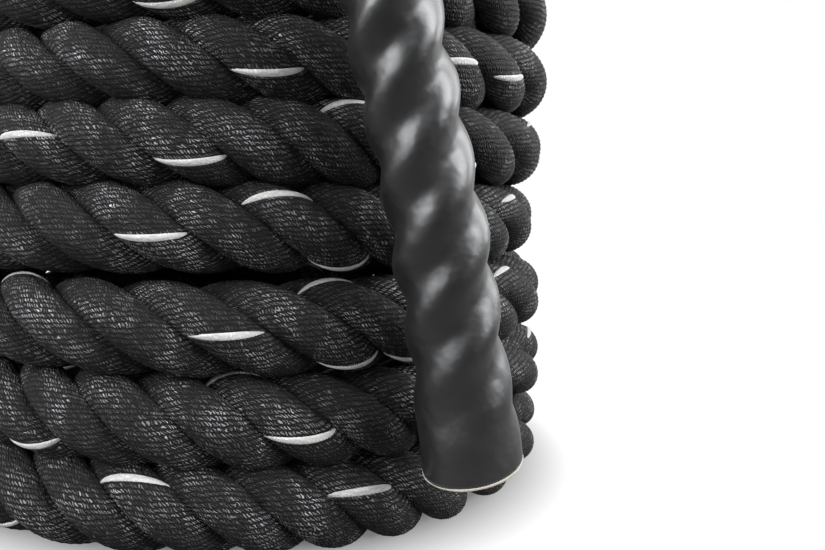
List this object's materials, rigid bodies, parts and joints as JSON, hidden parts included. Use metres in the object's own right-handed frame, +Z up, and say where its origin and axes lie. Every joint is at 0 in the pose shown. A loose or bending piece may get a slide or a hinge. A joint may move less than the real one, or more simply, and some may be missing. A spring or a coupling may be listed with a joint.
{
  "type": "battle rope",
  "caption": "Heavy laid training rope wound into a free-standing coil, with a shrink-sleeved grip at each end; the upper grip hangs down the front.",
  "frame": {"origin": "middle of the object's box, on the floor", "axes": "+Z up, -Y the front, where the upper grip hangs; the coil's own axis stands a little to the left of the origin"},
  "size_m": [0.4102, 0.4826, 0.4187],
  "materials": {
    "black_rope": "matt polyester yarn",
    "gloss_sleeve": "glossy shrink tube",
    "black_tape": "matt cloth tape"
  },
  "bodies": {
    "root": {"rope_coil": "black_rope", "rope_top_end": "black_rope", "rope_bottom_end": "black_rope", "grip_sleeve_top": "gloss_sleeve", "grip_sleeve_bottom": "gloss_sleeve", "end_binding_top": "black_tape", "end_binding_bottom": "black_tape"}
  },
  "joints": []
}
